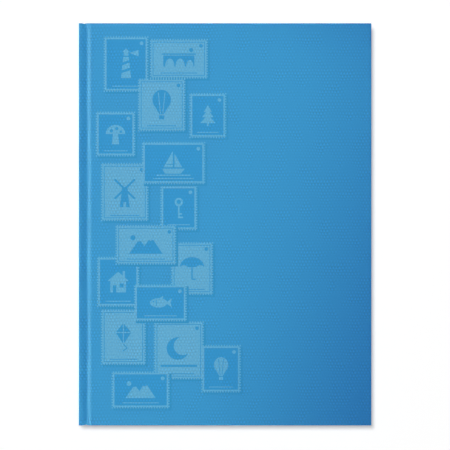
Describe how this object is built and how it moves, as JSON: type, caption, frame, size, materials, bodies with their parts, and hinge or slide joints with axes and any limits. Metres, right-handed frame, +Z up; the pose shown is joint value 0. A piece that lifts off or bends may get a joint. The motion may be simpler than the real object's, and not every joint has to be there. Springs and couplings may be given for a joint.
{
  "type": "stamp album",
  "caption": "Hardback stamp stock book: a blue paper-over-board case with French grooves, opening on hinged card leaves that carry clear pocket strips, with glassine sheets between them.",
  "frame": {"origin": "middle of the back cover's outer face, on which the closed album lies", "axes": "+X from the spine to the fore edge, +Y from the tail to the head, +Z up through the front cover"},
  "size_m": [0.222, 0.305, 0.0156],
  "materials": {
    "cover_paper": "satin laminated",
    "greyboard": "matte",
    "endpaper": "matte",
    "lining_cloth": "woven",
    "guard_card": "matte",
    "page_card": "matte",
    "linen": "woven",
    "pocket_film": "clear gloss",
    "glassine": "translucent"
  },
  "bodies": {
    "back_cover": {"back_board": "greyboard", "back_cover_paper": "cover_paper", "back_endpaper": "endpaper"},
    "spine": {"spine_board": "greyboard", "spine_cover_paper": "cover_paper", "spine_lining": "lining_cloth", "binding_guards": "guard_card"},
    "front_cover": {"front_board": "greyboard", "front_cover_paper": "cover_paper", "front_endpaper": "endpaper"},
    "leaf_1": {"leaf_1_card": "page_card", "leaf_1_linen_hinge": "linen", "leaf_1_front_pockets": "pocket_film", "leaf_1_back_pockets": "pocket_film"},
    "interleaf_1": {"interleaf_1": "glassine"},
    "leaf_2": {"leaf_2_card": "page_card", "leaf_2_linen_hinge": "linen", "leaf_2_front_pockets": "pocket_film", "leaf_2_back_pockets": "pocket_film"},
    "interleaf_2": {"interleaf_2": "glassine"},
    "leaf_3": {"leaf_3_card": "page_card", "leaf_3_linen_hinge": "linen", "leaf_3_front_pockets": "pocket_film", "leaf_3_back_pockets": "pocket_film"},
    "interleaf_3": {"interleaf_3": "glassine"},
    "leaf_4": {"leaf_4_card": "page_card", "leaf_4_linen_hinge": "linen", "leaf_4_front_pockets": "pocket_film", "leaf_4_back_pockets": "pocket_film"},
    "interleaf_4": {"interleaf_4": "glassine"},
    "leaf_5": {"leaf_5_card": "page_card", "leaf_5_linen_hinge": "linen", "leaf_5_front_pockets": "pocket_film", "leaf_5_back_pockets": "pocket_film"},
    "interleaf_5": {"interleaf_5": "glassine"},
    "leaf_6": {"leaf_6_card": "page_card", "leaf_6_linen_hinge": "linen", "leaf_6_front_pockets": "pocket_film", "leaf_6_back_pockets": "pocket_film"},
    "interleaf_6": {"interleaf_6": "glassine"},
    "leaf_7": {"leaf_7_card": "page_card", "leaf_7_linen_hinge": "linen", "leaf_7_front_pockets": "pocket_film", "leaf_7_back_pockets": "pocket_film"},
    "interleaf_7": {"interleaf_7": "glassine"},
    "leaf_8": {"leaf_8_card": "page_card", "leaf_8_linen_hinge": "linen", "leaf_8_front_pockets": "pocket_film", "leaf_8_back_pockets": "pocket_film"}
  },
  "joints": [
    {"name": "spine_hinge", "type": "hinge", "parent": "back_cover", "child": "spine", "pos_m": [-0.1098, 0, 0.0012], "axis": [0, -1, 0], "range_deg": [0, 90]},
    {"name": "front_cover_hinge", "type": "hinge", "parent": "spine", "child": "front_cover", "pos_m": [-0.1098, 0, 0.01442], "axis": [0, 1, 0], "range_deg": [-179, 0]},
    {"name": "leaf_1_hinge", "type": "hinge", "parent": "spine", "child": "leaf_1", "pos_m": [-0.1002, 0, 0.01215], "axis": [0, -1, 0], "range_deg": [-7, 0]},
    {"name": "interleaf_1_hinge", "type": "hinge", "parent": "spine", "child": "interleaf_1", "pos_m": [-0.1002, 0, 0.01153], "axis": [0, -1, 0], "range_deg": [-12.14, 0]},
    {"name": "leaf_2_hinge", "type": "hinge", "parent": "spine", "child": "leaf_2", "pos_m": [-0.1002, 0, 0.01091], "axis": [0, -1, 0], "range_deg": [-17.29, 0]},
    {"name": "interleaf_2_hinge", "type": "hinge", "parent": "spine", "child": "interleaf_2", "pos_m": [-0.1002, 0, 0.01029], "axis": [0, -1, 0], "range_deg": [-22.43, 0]},
    {"name": "leaf_3_hinge", "type": "hinge", "parent": "spine", "child": "leaf_3", "pos_m": [-0.1002, 0, 0.00967], "axis": [0, -1, 0], "range_deg": [-27.57, 0]},
    {"name": "interleaf_3_hinge", "type": "hinge", "parent": "spine", "child": "interleaf_3", "pos_m": [-0.1002, 0, 0.00905], "axis": [0, -1, 0], "range_deg": [-32.71, 0]},
    {"name": "leaf_4_hinge", "type": "hinge", "parent": "spine", "child": "leaf_4", "pos_m": [-0.1002, 0, 0.00843], "axis": [0, -1, 0], "range_deg": [-37.86, 0]},
    {"name": "interleaf_4_hinge", "type": "hinge", "parent": "spine", "child": "interleaf_4", "pos_m": [-0.1002, 0, 0.00781], "axis": [0, -1, 0], "range_deg": [-43, 0]},
    {"name": "leaf_5_hinge", "type": "hinge", "parent": "spine", "child": "leaf_5", "pos_m": [-0.1002, 0, 0.00719], "axis": [0, -1, 0], "range_deg": [-48.14, 0]},
    {"name": "interleaf_5_hinge", "type": "hinge", "parent": "spine", "child": "interleaf_5", "pos_m": [-0.1002, 0, 0.00657], "axis": [0, -1, 0], "range_deg": [-53.29, 0]},
    {"name": "leaf_6_hinge", "type": "hinge", "parent": "spine", "child": "leaf_6", "pos_m": [-0.1002, 0, 0.00595], "axis": [0, -1, 0], "range_deg": [-58.43, 0]},
    {"name": "interleaf_6_hinge", "type": "hinge", "parent": "spine", "child": "interleaf_6", "pos_m": [-0.1002, 0, 0.00533], "axis": [0, -1, 0], "range_deg": [-63.57, 0]},
    {"name": "leaf_7_hinge", "type": "hinge", "parent": "spine", "child": "leaf_7", "pos_m": [-0.1002, 0, 0.00471], "axis": [0, -1, 0], "range_deg": [-68.71, 0]},
    {"name": "interleaf_7_hinge", "type": "hinge", "parent": "spine", "child": "interleaf_7", "pos_m": [-0.1002, 0, 0.00409], "axis": [0, -1, 0], "range_deg": [-73.86, 0]},
    {"name": "leaf_8_hinge", "type": "hinge", "parent": "spine", "child": "leaf_8", "pos_m": [-0.1002, 0, 0.00347], "axis": [0, -1, 0], "range_deg": [-79, 0]}
  ],
  "couplings": [
    {"joint": "leaf_1_hinge", "follows": "spine_hinge", "ratio": -0.066667},
    {"joint": "interleaf_1_hinge", "follows": "spine_hinge", "ratio": -0.12381},
    {"joint": "leaf_2_hinge", "follows": "spine_hinge", "ratio": -0.18095},
    {"joint": "interleaf_2_hinge", "follows": "spine_hinge", "ratio": -0.2381},
    {"joint": "leaf_3_hinge", "follows": "spine_hinge", "ratio": -0.29524},
    {"joint": "interleaf_3_hinge", "follows": "spine_hinge", "ratio": -0.35238},
    {"joint": "leaf_4_hinge", "follows": "spine_hinge", "ratio": -0.40952},
    {"joint": "interleaf_4_hinge", "follows": "spine_hinge", "ratio": -0.46667},
    {"joint": "leaf_5_hinge", "follows": "spine_hinge", "ratio": -0.52381},
    {"joint": "interleaf_5_hinge", "follows": "spine_hinge", "ratio": -0.58095},
    {"joint": "leaf_6_hinge", "follows": "spine_hinge", "ratio": -0.63809},
    {"joint": "interleaf_6_hinge", "follows": "spine_hinge", "ratio": -0.69524},
    {"joint": "leaf_7_hinge", "follows": "spine_hinge", "ratio": -0.75238},
    {"joint": "interleaf_7_hinge", "follows": "spine_hinge", "ratio": -0.80952},
    {"joint": "leaf_8_hinge", "follows": "spine_hinge", "ratio": -0.86667}
  ]
}
